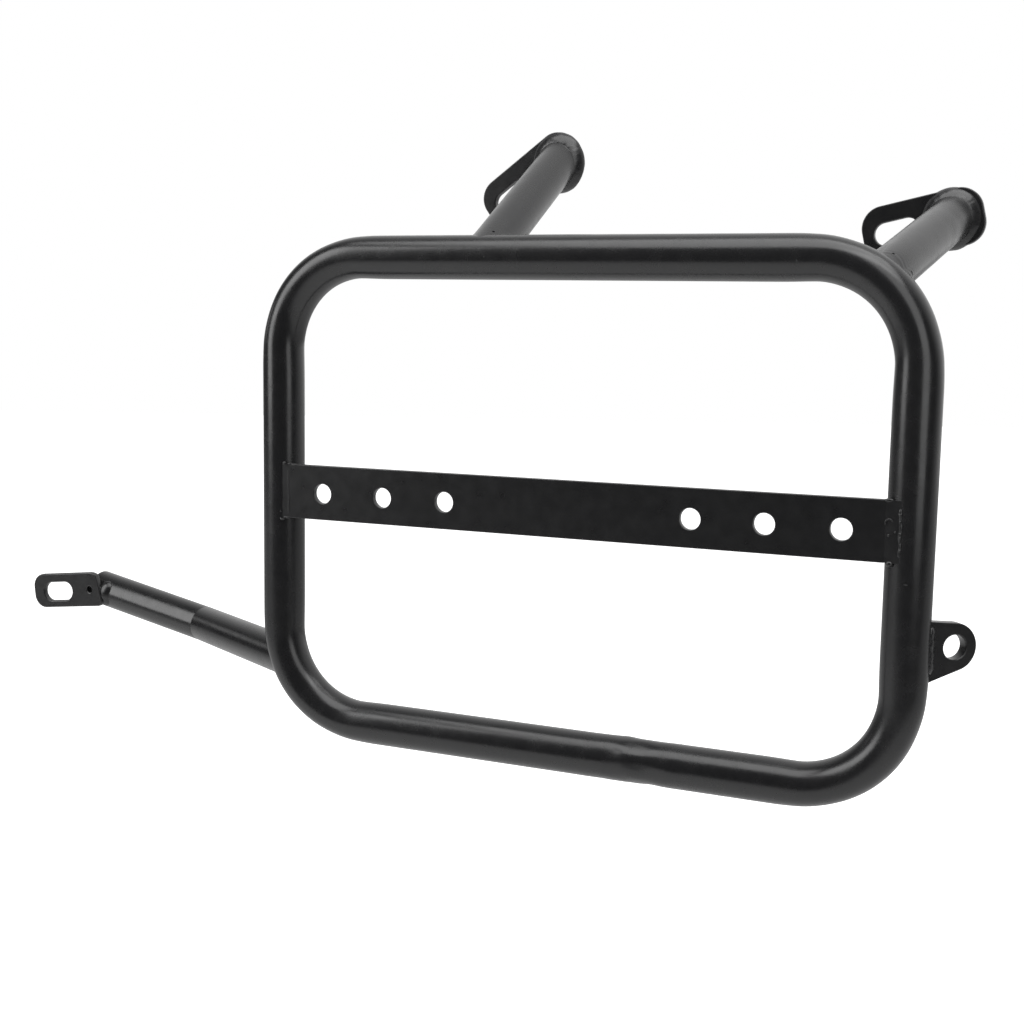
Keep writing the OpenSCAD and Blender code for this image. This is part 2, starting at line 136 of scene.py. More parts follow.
def openAngle(point, outward):
    # 1 where a tube stands square on the hoop, 0 where the two only touch
    here = fromHoop(point)
    probes = [Vector([feel["probe"] if axis == way else 0 for axis in range(3)]) for way in range(3)]
    normal = Vector([fromHoop(point + probe) - here for probe in probes])
    return 1 - smoothStep(feel["square"], feel["touching"], normal.normalized().dot(outward))


def meetsHoop(start, along, level):
    # walks in along a line until it touches the tube, or to its nearest place
    reach = feel["from"]
    best, bestAt = math.inf, reach
    while reach > feel["last"]:
        gap = fromHoop(start + along * reach) - level
        if gap <= 0:
            low, high = reach, reach + feel["step"]
            for trial in range(feel["halvings"]):
                middle = (low + high) / 2
                if fromHoop(start + along * middle) > level:
                    high = middle
                else:
                    low = middle
            return low
        if gap < best:
            best, bestAt = gap, reach
        reach -= feel["step"]
    return bestAt


# helpers for materials
def hexColour(text):
    parts = [int(text[i:i + 2], 16) / 255 for i in (0, 2, 4)]
    return [c / 12.92 if c <= 0.04045 else ((c + 0.055) / 1.055) ** 2.4 for c in parts] + [1.0]


def addNode(tree, kind, settings=None, links=None):
    # a socket that shares its name with others is given by its number
    node = tree.nodes.new(kind)
    for key, value in (settings or {}).items():
        if isinstance(key, int) or key in node.inputs:
            node.inputs[key].default_value = value
        else:
            setattr(node, key, value)
    for key, source in (links or {}).items():
        tree.links.new(source, node.inputs[key])
    return node


# polyester powder: its IOR, its usual specular level, the range of noise that its sheen follows, and how
# much wider than its dark middle a pinhole is
powder = {"ior": 1.5, "specular": 0.5, "sheenFrom": 0.3, "sheenTo": 0.7, "pinholeRim": 1.6}


def powderCoat(name, look):
    material = bpy.data.materials.new(name)
    material.use_nodes = True
    tree = material.node_tree
    tree.nodes.clear()
    place = addNode(tree, "ShaderNodeTexCoord").outputs["Object"]
    # clouds of slightly thicker and thinner coat
    cloud = addNode(tree, "ShaderNodeTexNoise", {"Scale": 1000 / look["cloudSize"], "Detail": 2.0},
                    {"Vector": place})
    shade = addNode(tree, "ShaderNodeMix",
                    {"data_type": "RGBA", 6: hexColour(look["dark"]), 7: hexColour(look["light"])},
                    {0: cloud.outputs["Fac"]})
    # pinholes under a millimetre wide, where the coat sends nothing back
    gloss = None
    for spot, size in look.get("pinholes", []):
        apart = addNode(tree, "ShaderNodeVectorMath",
                        {"operation": "DISTANCE", 1: [part / 1000 for part in spot]}, {0: place})
        rim = addNode(tree, "ShaderNodeMapRange",
                      {"From Min": size / (1000 * powder["pinholeRim"]), "From Max": size / 1000,
                       "To Min": 0.0, "To Max": powder["specular"]}, {"Value": apart.outputs["Value"]})
        gloss = addNode(tree, "ShaderNodeMath", {"operation": "MINIMUM"},
                        {0: rim.outputs[0], 1: gloss.outputs[0]}) if gloss else rim
    # orange peel, the soft dimples that melted powder leaves
    peel = addNode(tree, "ShaderNodeTexNoise",
                   {"Scale": 1000 / look["peelSize"], "Detail": 1.5, "Roughness": 0.4}, {"Vector": place})
    wave = addNode(tree, "ShaderNodeTexNoise", {"Scale": 1000 / look["waveSize"], "Detail": 1.0},
                   {"Vector": place})
    patch = addNode(tree, "ShaderNodeTexNoise", {"Scale": 1000 / look["patchSize"], "Detail": 3.0},
                    {"Vector": place})
    sheen = addNode(tree, "ShaderNodeMapRange",
                    {"From Min": powder["sheenFrom"], "From Max": powder["sheenTo"],
                     "To Min": look["smooth"], "To Max": look["rough"]}, {"Value": patch.outputs["Fac"]})
    broad = addNode(tree, "ShaderNodeBump", {"Strength": 1.0, "Distance": look["waveDepth"] / 1000},
                    {"Height": wave.outputs["Fac"]})
    fine = addNode(tree, "ShaderNodeBump", {"Strength": 1.0, "Distance": look["peelDepth"] / 1000},
                   {"Height": peel.outputs["Fac"], "Normal": broad.outputs["Normal"]})
    shader = addNode(tree, "ShaderNodeBsdfPrincipled", {"IOR": powder["ior"], "Metallic": 0.0},
                     {"Base Color": shade.outputs[2], "Roughness": sheen.outputs["Result"],
                      "Normal": fine.outputs["Normal"]})
    if gloss:
        tree.links.new(gloss.outputs[0], shader.inputs["Specular IOR Level"])
    addNode(tree, "ShaderNodeOutputMaterial", None, {"Surface": shader.outputs["BSDF"]})
    return material


# black polyester powder baked on steel tube: satin, with faint orange peel in the highlights and a few
# pinholes at the feet of the struts
tubeCoat = powderCoat("satinPowderCoatOnTube", {
    "dark": "101011", "light": "151516", "cloudSize": 38.0,
    "pinholes": [((-38.7, 10.5, 116.6), 0.8), ((130.4, 11.7, 107.2), 0.8), ((136.7, 17.0, 100.6), 0.5),
                 ((136.9, 17.7, 100.1), 0.5), ((137.0, 18.5, 99.5), 0.5)],
    "smooth": 0.22, "rough": 0.29, "patchSize": 7.0,
    "peelSize": 1.7, "peelDepth": 0.012, "waveSize": 24.0, "waveDepth": 0.10,
})
# the same powder on sheared and punched flat: a little duller, its peel finer, and its colour painted darker than
# on the tube as painted shade on the flat faces
shadedFlatCoat = powderCoat("satinPowderCoatOnFlatPaintedDarker", {
    "dark": "0c0c0d", "light": "111112", "cloudSize": 45.0,
    "smooth": 0.27, "rough": 0.34, "patchSize": 6.0,
    "peelSize": 1.4, "peelDepth": 0.010, "waveSize": 30.0, "waveDepth": 0.06,
})
# powder over rippled weld metal: thicker in the hollows, glossier on the crests
weldCoat = powderCoat("powderCoatOverWeld", {
    "dark": "111112", "light": "1a1a1b", "cloudSize": 5.0,
    "smooth": 0.22, "rough": 0.34, "patchSize": 2.5,
    "peelSize": 1.3, "peelDepth": 0.016, "waveSize": 4.0, "waveDepth": 0.10,
})
print("materials made")


# hoop: one tube, bent four times
def flattened(past, outward):
    # how far the outside is drawn in, past millimetres beyond the start of a bend
    return hoop["flat"] * smoothStep(-hoop["flatBefore"], hoop["flatAfter"], past) * max(0.0, outward) ** 2


def pinched(past, inward):
    # how far the former pinched the inside where each bend begins
    return hoop["pinch"] * math.exp(-(past / hoop["pinchLength"]) ** 2) * max(0.0, inward) ** 2


def buildHoop():
    bm = bmesh.new()
    centre = hoop["middle"]
    start = Vector((hoop["buttAt"], centre.y, centre.z - hoop["halfHeight"]))
    bmesh.ops.create_circle(bm, cap_ends=False, radius=hoop["tubeRadius"], segments=hoop["sides"],
                            matrix=placeAt(start, (1, 0, 0)))
    ring = list(bm.verts)
    down = (0, -1, 0)
    corners = [(runWidth, -runHeight), (runWidth, runHeight), (-runWidth, runHeight), (-runWidth, -runHeight)]
    moves = [(runWidth - start.x, 0, 0), (0, 0, 2 * runHeight), (-2 * runWidth, 0, 0), (0, 0, -2 * runHeight)]
    for move, corner in zip(moves, corners):
        ring = pullStraight(bm, ring, move, hoop["runSteps"])
        ring = spinRing(bm, ring, (corner[0], centre.y, centre.z + corner[1]), down, math.pi / 2,
                        hoop["bendSteps"])
    pullStraight(bm, ring, (runWidth + start.x, 0, 0), hoop["runSteps"])
    for vert in bm.verts:
        across = abs(vert.co.x) - runWidth
        upward = abs(vert.co.z - centre.z) - runHeight
        if across > 0 and upward > 0:
            radius = math.hypot(across, upward)
            angle = math.degrees(math.atan2(upward, across))
            past = math.radians(min(angle, 90 - angle)) * hoop["bendRadius"]
            outward = (radius - hoop["bendRadius"]) / hoop["tubeRadius"]
            shrink = 1 + (pinched(past, -outward) - flattened(past, outward)) / radius
            across, upward = across * shrink, upward * shrink
        elif across > 0 and upward > -hoop["pinchReach"]:
            outward = (across - hoop["bendRadius"]) / hoop["tubeRadius"]
            across += pinched(upward, -outward) - flattened(upward, outward)
        elif upward > 0 and across > -hoop["pinchReach"]:
            outward = (upward - hoop["bendRadius"]) / hoop["tubeRadius"]
            upward += pinched(across, -outward) - flattened(across, outward)
        vert.co.x = math.copysign(runWidth + across, vert.co.x)
        vert.co.z = centre.z + math.copysign(runHeight + upward, vert.co.z - centre.z)
        # the butt weld in the bottom run was ground by hand, so the tube is uneven there
        apart = (vert.co.x - hoop["roughAt"]) / hoop["roughLength"]
        if vert.co.z < hoop["roughBelow"] and abs(apart) < hoop["roughReach"]:
            outward = Vector((0, vert.co.y - centre.y, vert.co.z - centre.z + hoop["halfHeight"])).normalized()
            spot = Vector([part * grain for part, grain in zip(vert.co, hoop["roughGrain"])])
            swell = hoop["rough"] * noise.noise(spot) * math.exp(-apart ** 2)
            swell += hoop["buttProud"] * math.exp(-((vert.co.x - hoop["buttAt"]) / hoop["buttWidth"]) ** 2)
            vert.co += outward * swell
    finishPiece("bentHoop", bm, tubeCoat, ["hoop_tube", "hoop_butt_weld"])


buildHoop()

# struts: coped onto the hoop, cut square to the bike side
plateFace = 98.4
leftStrut = {"name": "leftStrut", "foot": Vector((-42.1, 8.4, 105.6)), "end": Vector((-46.2, 98.4, 153.6)),
             "radius": 9.5, "node": "left_strut_tube", "weld": "left_foot_weld",
             "fillet": 1.6, "filletLength": 1.9, "ripple": 0.03, "tuck": 0.0}
rightStrut = {"name": "rightStrut", "foot": Vector((126.33, 8.4, 97.6)), "end": Vector((138.53, 98.4, 125.5)),
              "radius": 9.5, "node": "right_strut_tube", "weld": "right_foot_weld",
              "fillet": 1.0, "filletLength": 1.6, "ripple": 0.07, "tuck": 1.1}
bothStruts = {"sides": 96, "steps": 96, "cope": 1.9, "tuckLength": 9.0, "plateFillet": 2.4,
              "plateFilletLength": 1.9, "rippleRate": 2.6, "rippleDrift": 5, "rippleGrain": 0.12,
              "rippleAt": 5.0, "rippleSpread": 3.5}


def strutSwell(look, point, above, below, opened):
    # the fillets that weld and powder leave, with a few ripples beside the lower one
    shape = bothStruts
    swell = look["fillet"] * opened * math.exp(-above / look["filletLength"])
    swell -= look["tuck"] * (1 - opened) * math.exp(-above / shape["tuckLength"])
    swell += shape["plateFillet"] * math.exp(-below / shape["plateFilletLength"])
    drift = shape["rippleDrift"] * noise.noise(point * shape["rippleGrain"])
    wave = math.sin(above * shape["rippleRate"] + drift)
    return swell + look["ripple"] * wave * math.exp(-((above - shape["rippleAt"]) / shape["rippleSpread"]) ** 2)


def buildStrut(look):
    bm = bmesh.new()
    along = (look["end"] - look["foot"]).normalized()
    length = (look["end"] - look["foot"]).length
    bmesh.ops.create_circle(bm, cap_ends=False, radius=look["radius"], segments=bothStruts["sides"],
                            matrix=placeAt(look["foot"], along))
    first = list(bm.verts)
    last = pullStraight(bm, first, along * length, bothStruts["steps"])
    # the near rim follows the tube it sits on, the far rim the plate; the rings crowd toward both
    for vert in bm.verts:
        share = (vert.co - look["foot"]).dot(along) / length
        onFoot = vert.co - along * (share * length)
        near = meetsHoop(onFoot, along, hoop["tubeRadius"] - bothStruts["cope"])
        distant = (plateFace - onFoot.y) / along.y
        past = (distant - near) * (1 - math.cos(math.pi * share)) / 2
        vert.co = onFoot + along * (near + past)
        outward = (onFoot - look["foot"]).normalized()
        above, below = max(0.0, past - bothStruts["cope"]), distant - near - past
        opened = openAngle(onFoot + along * near, outward)
        vert.co += outward * strutSwell(look, vert.co, above, below, opened)
    closeRing(bm, first)
    closeRing(bm, last)
    finishPiece(look["name"], bm, tubeCoat, [look["node"]])


for strut in (leftStrut, rightStrut):
    buildStrut(strut)


# weld beads
def evenly(points, step):
    # the same line with its points at even distances
    spots, carried = [points[0].copy()], 0.0
    for here, there in zip(points, points[1:]):
        span = (there - here).length
        while span > 0 and carried + span >= step:
            part = (step - carried) / span
            here = here.lerp(there, part)
            spots.append(here.copy())
            span = (there - here).length
            carried = 0.0
        carried += span
    return spots


# what all beads share: sides of a ring, how blunt an end stays, and the noise in their ripples and size
anyBead = {"sides": 16, "blunt": 0.02, "drift": 0.6, "driftGrain": 0.4, "wobbleGrain": 0.33,
           "wobbleFrom": Vector((7, 3, 1))}


def layBead(bm, points, upAt, look, closed=False, sizeAt=None):
    # a ring is pulled from place to place along the seam, then the ripples are pressed into it
    points = evenly(points, look["step"])
    frames = []
    for index, point in enumerate(points):
        before = points[index - 1] if index or closed else point
        after = points[(index + 1) % len(points)] if index + 1 < len(points) or closed else point
        frames.append(placeAt(point, after - before, upAt(point)))
    shape = Matrix.Diagonal((look["width"], look["height"], 1, 1))
    ring = bmesh.ops.create_circle(bm, cap_ends=False, radius=1.0, segments=anyBead["sides"],
                                   matrix=frames[0] @ shape)["verts"]
    rings = [ring]
    for before, after in zip(frames, frames[1:]):
        ring = pullRing(bm, ring, after @ before.inverted())
        rings.append(ring)
    if closed:
        bmesh.ops.bridge_loops(bm, edges=ringEdges(rings[-1]) + ringEdges(rings[0]))
    for index, ring in enumerate(rings):
        place, travelled = frames[index], index * look["step"]
        back = place.inverted()
        ends = 1.0
        if not closed:
            fromEnd = min(index, len(rings) - 1 - index) * look["step"]
            ends = math.sqrt(max(anyBead["blunt"], 1 - (1 - min(1.0, fromEnd / look["round"])) ** 2))
        if sizeAt:
            ends *= sizeAt(place.translation)
        drift = anyBead["drift"] * noise.noise(place.translation * anyBead["driftGrain"])
        wobble = noise.noise(place.translation * anyBead["wobbleGrain"] + anyBead["wobbleFrom"])
        wobble *= look["wobble"]
        for vert in ring:
            spot = back @ vert.co
            lateral = spot.x / look["width"]
            phase = (travelled + look["bow"] * lateral ** 2) / look["pitch"] + drift
            saw = 1 - (phase - math.floor(phase))
            size = ends * (1 + look["ripple"] * (saw - 0.5) + wobble)
            vert.co = place @ Vector((spot.x * ends * (1 + wobble), spot.y * size, spot.z))
    if not closed:
        closeRing(bm, rings[0])
        closeRing(bm, rings[-1])


footBead = {"width": 3.4, "height": 1.7, "step": 0.4, "pitch": 2.6, "bow": 1.2, "ripple": 0.10, "round": 6.0,
            "wobble": 0.08, "behind": 12.5, "inset": 0.1, "sink": 0.3, "lean": 0.6, "least": 0.15}
seamSteps = 180


def ringPoints(foot, along, radius, reachAt):
    place = placeAt(foot, along)
    points = []
    for index in range(seamSteps):
        angle = 2 * math.pi * index / seamSteps
        onFoot = place @ Vector((math.cos(angle) * radius, math.sin(angle) * radius, 0))
        points.append(onFoot + along * reachAt(onFoot))
    return points


def awayFrom(point, foot, along):
    outward = point - foot - along * (point - foot).dot(along)
    return outward.normalized()


def buildFootWeld(name, foot, along, radius, node):
    bm = bmesh.new()
    level = hoop["tubeRadius"] - footBead["sink"]
    points = ringPoints(foot, along, radius - footBead["inset"], lambda spot: meetsHoop(spot, along, level))
    # the bead was laid from behind and stops where the two tubes part at the front
    kept = [point.y > footBead["behind"] for point in points]
    begin = next(index for index in range(len(points)) if kept[index] and not kept[index - 1])
    points = [points[(begin + index) % len(points)] for index in range(sum(kept))]

    def upAt(point):
        return awayFrom(point, foot, along) + along * footBead["lean"]

    def sizeAt(point):
        least = footBead["least"]
        return least + (1 - least) * openAngle(point, awayFrom(point, foot, along))

    layBead(bm, points, upAt, footBead, sizeAt=sizeAt)
    finishPiece(name, bm, weldCoat, [node], finish["weldAngle"])


for strut in (leftStrut, rightStrut):
    direction = (strut["end"] - strut["foot"]).normalized()
    buildFootWeld(strut["name"] + "FootWeld", strut["foot"], direction, strut["radius"], strut["weld"])

# rear arm: straight, short bend, straight
arm = {"radius": 9.0, "foot": Vector((-140.068, 8.8, -80.626)), "kink": Vector((-223.64, 57.49, -81.61)),
       "end": Vector((-298.168, 67.1, -70.326)), "bendRadius": 4.0, "bendSteps": 10, "cope": 1.2,
       "bore": 7.5, "boreDepth": 30, "sides": 64, "firstSteps": 60, "secondSteps": 50, "boreSteps": 6}
armFirst = (arm["kink"] - arm["foot"]).normalized()
armSecond = (arm["end"] - arm["kink"]).normalized()


def buildArm():
    bm = bmesh.new()
    turn = armFirst.angle(armSecond)
    axis = armFirst.cross(armSecond).normalized()
    cut = arm["bendRadius"] * math.tan(turn / 2)
    bmesh.ops.create_circle(bm, cap_ends=False, radius=arm["radius"], segments=arm["sides"],
                            matrix=placeAt(arm["foot"], armFirst))
    first = list(bm.verts)
    ring = pullStraight(bm, first, armFirst * ((arm["kink"] - arm["foot"]).length - cut), arm["firstSteps"])
    centre = arm["kink"] - armFirst * cut + axis.cross(armFirst) * arm["bendRadius"]
    ring = spinRing(bm, ring, centre, axis, turn, arm["bendSteps"])
    last = pullStraight(bm, ring, armSecond * ((arm["end"] - arm["kink"]).length - cut), arm["secondSteps"])
    for vert in first:
        vert.co += armFirst * meetsHoop(vert.co.copy(), armFirst, hoop["tubeRadius"] - arm["cope"])
    closeRing(bm, first)
    # the wall shows at the open end
    narrower = Matrix.Scale(arm["bore"] / arm["radius"], 4)
    wall = pullRing(bm, last, Matrix.Translation(arm["end"]) @ narrower @ Matrix.Translation(-arm["end"]))
    deep = pullStraight(bm, wall, armSecond * -arm["boreDepth"], arm["boreSteps"])
    closeRing(bm, deep)
    finishPiece("rearArm", bm, tubeCoat, ["rear_arm_tube"])


buildArm()
buildFootWeld("rearArmFootWeld", arm["foot"], armFirst, arm["radius"], "arm_foot_weld")


# flat pieces: an outline of arcs, its rims rounded over
def arcLoop(bm, arcs, grow, height):
    least = 0.02
    ends = []
    for x, y, radius, begin, turn, steps in arcs:
        size = max(least, radius + grow)
        angle = math.radians(begin)
        first = bm.verts.new((x + size * math.cos(angle), y + size * math.sin(angle), height))
        spun = bmesh.ops.spin(bm, geom=[first], cent=(x, y, height), axis=(0, 0, 1), angle=math.radians(turn),
                              steps=steps, use_duplicate=False)["geom_last"]
        ends.append((first, [item for item in spun if isinstance(item, bmesh.types.BMVert)][0]))
    for (first, last), (nextFirst, nextLast) in zip(ends, ends[1:] + ends[:1]):
        bm.edges.new((last, nextFirst))


def flatPiece(thickness, rim, outside, holes):
    # outside and holes are lists of arcs; each rim is rounded in three steps
    rimSteps, onLevel = 3, 1e-5
    bm = bmesh.new()
    levels = []
    for part in range(rimSteps + 1):
        angle = math.radians(90 / rimSteps * part)
        levels.append((rim * (1 - math.sin(angle)), rim * (1 - math.cos(angle))))
    heights = levels + [(inset, thickness - depth) for inset, depth in reversed(levels)]
    for arcs, sign in [(outside, -1)] + [(hole, 1) for hole in holes]:
        earlier = None
        for inset, depth in heights:
            known = set(bm.edges)
            arcLoop(bm, arcs, sign * inset, depth)
            loop = [edge for edge in bm.edges if edge not in known]
            if earlier:
                bmesh.ops.bridge_loops(bm, edges=earlier + loop)
            earlier = loop
    for level in (0.0, thickness):
        edges = [edge for edge in bm.edges if len(edge.link_faces) == 1
                 and all(abs(vert.co.z - level) < onLevel for vert in edge.verts)]
        bmesh.ops.triangle_fill(bm, edges=edges, use_beauty=True, use_dissolve=False)
    return bm


def slotArcs(x, y, length, width, steps=20):
    half = (length - width) / 2
    return [(x + half, y, width / 2, -90, 180, steps), (x - half, y, width / 2, 90, 180, steps)]


def holeArcs(x, y, diameter, steps=48):
    return [(x, y, diameter / 2, 0, 180, steps // 2), (x, y, diameter / 2, 180, 180, steps // 2)]


def roundedArcs(length, width, radius, steps=14, middle=(0, 0)):
    # from the lower right corner round to the lower left one
    x, y = length / 2 - radius, width / 2 - radius
    corners = [(x, -y, -90), (x, y, 0), (-x, y, 90), (-x, -y, 180)]
    return [(cornerX + middle[0], cornerY + middle[1], radius, begin, 90, steps)
            for cornerX, cornerY, begin in corners]


# upright in the plane of X and Z, its outline seen from the pannier side, its depth running back
standing = Matrix.Rotation(math.radians(90), 4, "X")


def placeFlat(bm, point, angle, thickness):
    # drawn from height 0 to its thickness, it is laid with its front face at the point
    # what comes back is the way its flat faces look
    laid = Matrix.Translation(point) @ Matrix.Rotation(math.radians(-angle), 4, "Y")
    bmesh.ops.transform(bm, verts=bm.verts, matrix=laid @ standing @ Matrix.Translation((0, 0, -thickness)))
    return Vector((0, 1, 0))


bar = {"height": 24.7, "thickness": 3.0, "half": 134.88, "hole": 9.0, "holesAt": (56.0, 86.75, 117.5),
       "lift": 0.4, "tilt": 0.28, "rim": 0.35, "corner": 0.6, "cornerSteps": 6}


def buildBar():
    holes = [holeArcs(side * x, 0, bar["hole"]) for side in (-1, 1) for x in bar["holesAt"]]
    outside = roundedArcs(2 * bar["half"], bar["height"], bar["corner"], bar["cornerSteps"], (0, bar["lift"]))
    bm = flatPiece(bar["thickness"], bar["rim"], outside, holes)
    flatWay = placeFlat(bm, Vector((0, 0, 0)), bar["tilt"], bar["thickness"])
    finishPiece("drilledBar", bm, shadedFlatCoat, ["cross_bar"], flatWay=flatWay)


buildBar()

leftPlate = {"name": "leftSlottedPlate", "node": "left_plate", "weld": "left_plate_weld", "length": 55.0,
             "angle": 36.2, "middle": Vector((-59.69, 98.4, 145.96)), "strut": leftStrut}
rightPlate = {"name": "rightSlottedPlate", "node": "right_plate", "weld": "right_plate_weld", "length": 52.5,
              "angle": 13.0, "middle": Vector((126.67, 98.4, 123.07)), "strut": rightStrut}
plate = {"width": 25.0, "thickness": 4.0, "corner": 9.8, "slotLength": 19.5, "slotWidth": 10.0,
         "slotWall": 5.0, "rim": 0.5}
plateBead = {"width": 4.5, "height": 1.9, "step": 0.4, "pitch": 2.9, "bow": 1.6, "ripple": 0.05,
             "wobble": 0.06, "outset": 0.35, "before": 0.5, "lean": Vector((0, -0.9, 0))}


def buildPlate(look):
    slotMiddle = -look["length"] / 2 + plate["slotWall"] + plate["slotLength"] / 2
    outside = roundedArcs(look["length"], plate["width"], plate["corner"])
    bm = flatPiece(plate["thickness"], plate["rim"], outside,
                   [slotArcs(slotMiddle, 0, plate["slotLength"], plate["slotWidth"])])
    flatWay = placeFlat(bm, look["middle"], look["angle"], plate["thickness"])
    finishPiece(look["name"], bm, shadedFlatCoat, [look["node"]], flatWay=flatWay)
    # the ring of weld round the strut, against the plate
    bm = bmesh.new()
    foot, radius = look["strut"]["foot"], look["strut"]["radius"]
    along = (look["strut"]["end"] - foot).normalized()
    level = plateFace - plateBead["before"]
    points = ringPoints(foot, along, radius + plateBead["outset"], lambda spot: (level - spot.y) / along.y)
    points.append(points[0].copy())
    layBead(bm, points, lambda point: awayFrom(point, foot, along) + plateBead["lean"], plateBead, closed=True)
    finishPiece(look["name"] + "Weld", bm, weldCoat, [look["weld"]], finish["weldAngle"])


for flat in (leftPlate, rightPlate):
    buildPlate(flat)

# tab on the rear arm
tab = {"slotCentre": Vector((-318.468, 55.0, -72.626)), "angle": 6.5, "thickness": 3.0, "width": 18.5,
       "lift": 0.5, "out": 16.6, "in": 29.2, "corner": 7.0, "lowCorner": 3.2, "cutFrom": 47.6, "slotLength": 19.1,
       "slotWidth": 10.1, "drainAt": 21.4, "drain": 3.4, "rim": 0.6, "inSteps": 8, "outSteps": 14,
       "drainSteps": 32, "skinOver": 0.3, "skinAt": 0.9, "skin": 0.5}


def buildTab():
    half = tab["width"] / 2
    lift, corner, low = tab["lift"], tab["corner"], tab["lowCorner"]
    outside = [(tab["in"] - low, low - half + lift, low, -90, 90, tab["inSteps"]),
               (tab["in"] - corner, half - corner + lift, corner, tab["cutFrom"], 90 - tab["cutFrom"],
                tab["inSteps"]),
               (corner - tab["out"], half - corner + lift, corner, 90, 90, tab["outSteps"]),
               (corner - tab["out"], corner - half + lift, corner, 180, 90, tab["outSteps"])]
    holes = [slotArcs(0, 0, tab["slotLength"], tab["slotWidth"]),
             holeArcs(tab["drainAt"], lift, tab["drain"], tab["drainSteps"])]
    bm = flatPiece(tab["thickness"], tab["rim"], outside, holes)
    # powder closed the small hole from behind
    skin = bmesh.ops.create_circle(bm, cap_ends=True, segments=tab["drainSteps"],
                                   radius=tab["drain"] / 2 + tab["skinOver"],
                                   matrix=Matrix.Translation((tab["drainAt"], lift, tab["skinAt"])))["verts"]
    skinFaces = list({face for vert in skin for face in vert.link_faces})
    lower = bmesh.ops.extrude_face_region(bm, geom=skinFaces)["geom"]
    bmesh.ops.translate(bm, vec=(0, 0, -tab["skin"]),
                        verts=[item for item in lower if isinstance(item, bmesh.types.BMVert)])
    flatWay = placeFlat(bm, tab["slotCentre"], tab["angle"], tab["thickness"])
    finishPiece("slottedTab", bm, shadedFlatCoat, ["arm_tab"], flatWay=flatWay)


buildTab()

# lug low on the right upright
lug = {"axis": Vector((143.0, 8.4, -45.7)), "angle": 40.0, "thickness": 5.0, "hole": 10.0, "reach": 20.6,
       "end": 9.7, "endSteps": 40, "up": 10.8, "down": 14.4, "rim": 0.5, "onTube": 0.8, "inside": 5.0,
       "nick": 0.05, "nickTurn": 20, "root": 1.0, "rootSteps": 4}
lugBead = {"width": 2.7, "height": 1.25, "step": 0.3, "pitch": 5.2, "bow": 2.0, "ripple": 0.22, "round": 3.0,
           "wobble": 0.12, "out": 0.6, "proud": 0.3, "from": 2, "short": 5, "spacing": 0.5}


def tangentAngle(x, y, side):
    # where a line from that point touches the round end
    offset = Vector((x - lug["reach"], y))
    return math.degrees(math.atan2(offset.y, offset.x) - side * math.acos(lug["end"] / offset.length))


def buildLug():
    inner = hoop["tubeRadius"] * lug["onTube"]
    upper = tangentAngle(inner, lug["up"], 1)
    lower = tangentAngle(inner, -lug["down"], -1)
    nick, nickTurn, root, inside = lug["nick"], lug["nickTurn"], lug["root"], lug["inside"]
    outside = [(inner, -lug["down"] + nick, nick, -90, nickTurn, 2),
               (lug["reach"], 0, lug["end"], lower, upper - lower, lug["endSteps"]),
               (inner, lug["up"] - nick, nick, 80, nickTurn, 2),
               (inside, lug["up"] - root, root, 90, 90, lug["rootSteps"]),
               (inside, -lug["down"] + root, root, 180, 90, lug["rootSteps"])]
    bm = flatPiece(lug["thickness"], lug["rim"], outside, [holeArcs(lug["reach"], 0, lug["hole"])])
    half = lug["thickness"] / 2
    turn = Matrix.Translation(lug["axis"]) @ Matrix.Rotation(math.radians(lug["angle"]), 4, "Z")
    bmesh.ops.transform(bm, verts=bm.verts, matrix=turn @ standing @ Matrix.Translation((0, 0, -half)))
    finishPiece("drilledLug", bm, shadedFlatCoat, ["lower_lug"], flatWay=turn.to_3x3() @ Vector((0, 1, 0)))
    outAt = math.sqrt(hoop["tubeRadius"] ** 2 - half ** 2) + lugBead["out"]
    count = int((lug["up"] + lug["down"] - lugBead["short"]) / lugBead["spacing"])
    for side, name, node in ((-1, "lugWeldFront", "lug_weld_front"), (1, "lugWeldRear", "lug_weld_rear")):
        bm = bmesh.new()
        line = [turn @ Vector((outAt, side * (half + lugBead["proud"]),
                               lug["up"] - lugBead["from"] - lugBead["spacing"] * index))
                for index in range(count)]
        facing = (turn.to_3x3() @ Vector((1, side, 0))).normalized()
        layBead(bm, line, lambda point: facing, lugBead)
        finishPiece(name, bm, weldCoat, [node], finish["weldAngle"])


buildLug()

